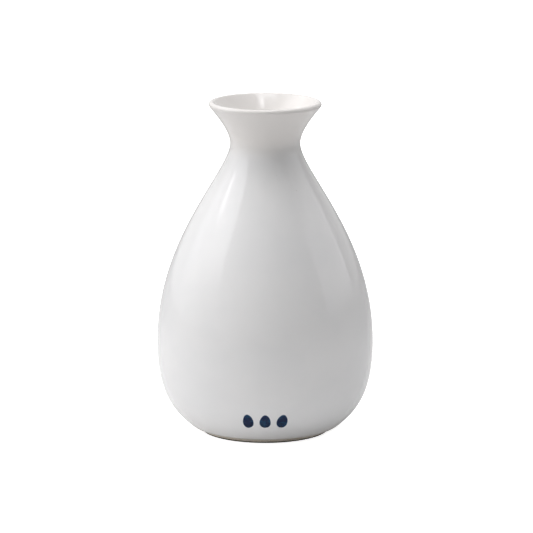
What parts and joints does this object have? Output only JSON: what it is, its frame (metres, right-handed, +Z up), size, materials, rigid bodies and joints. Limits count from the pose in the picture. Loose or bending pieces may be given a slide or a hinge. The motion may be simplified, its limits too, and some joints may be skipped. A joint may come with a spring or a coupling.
{
  "type": "sake bottle",
  "caption": "Pear-shaped white glazed porcelain sake bottle with a narrow neck, a flared pouring lip, a bare foot ring and a small blue painted mark.",
  "frame": {"origin": "centre of the plane that the foot ring stands on", "axes": "+Z up along the bottle's axis of revolution towards the mouth; the front, with the painted mark, faces -Y"},
  "size_m": [0.082, 0.082, 0.1262],
  "materials": {
    "bare_porcelain": "matte, unglazed and slightly warm where the foot ring is bare",
    "white_glaze": "smooth glossy transparent glaze over white porcelain, very slightly cool",
    "cobalt_blue": "dark cobalt blue fired into the glaze, glossy"
  },
  "bodies": {
    "root": {"porcelain_body": "bare_porcelain", "outer_glaze": "white_glaze", "inner_glaze": "white_glaze", "foot_recess_glaze": "white_glaze", "blue_mark": "cobalt_blue"}
  },
  "joints": []
}
